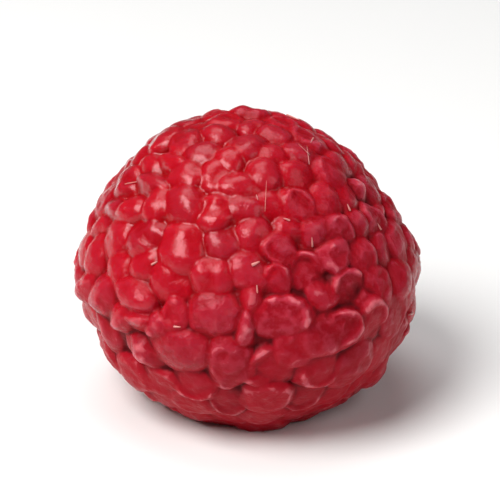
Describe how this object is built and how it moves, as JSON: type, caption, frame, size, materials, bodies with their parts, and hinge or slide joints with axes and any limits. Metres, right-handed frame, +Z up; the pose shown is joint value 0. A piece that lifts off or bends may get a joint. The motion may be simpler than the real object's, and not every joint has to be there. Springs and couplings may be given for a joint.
{
  "type": "raspberry",
  "caption": "Picked ripe raspberry: fused drupelets in a rounded cone with an open hollow underneath, resting on its rim.",
  "frame": {"origin": "middle of the berry's footprint, on the surface it stands on", "axes": "+Z up from the open end to the tip; -Y towards the viewer; the tip leans a little to -X and +Y"},
  "size_m": [0.0218, 0.0221, 0.0189],
  "materials": {
    "berry_flesh": "soft velvety fruit skin, part matte and part moist"
  },
  "bodies": {
    "root": {"raspberry": "berry_flesh"}
  },
  "joints": []
}
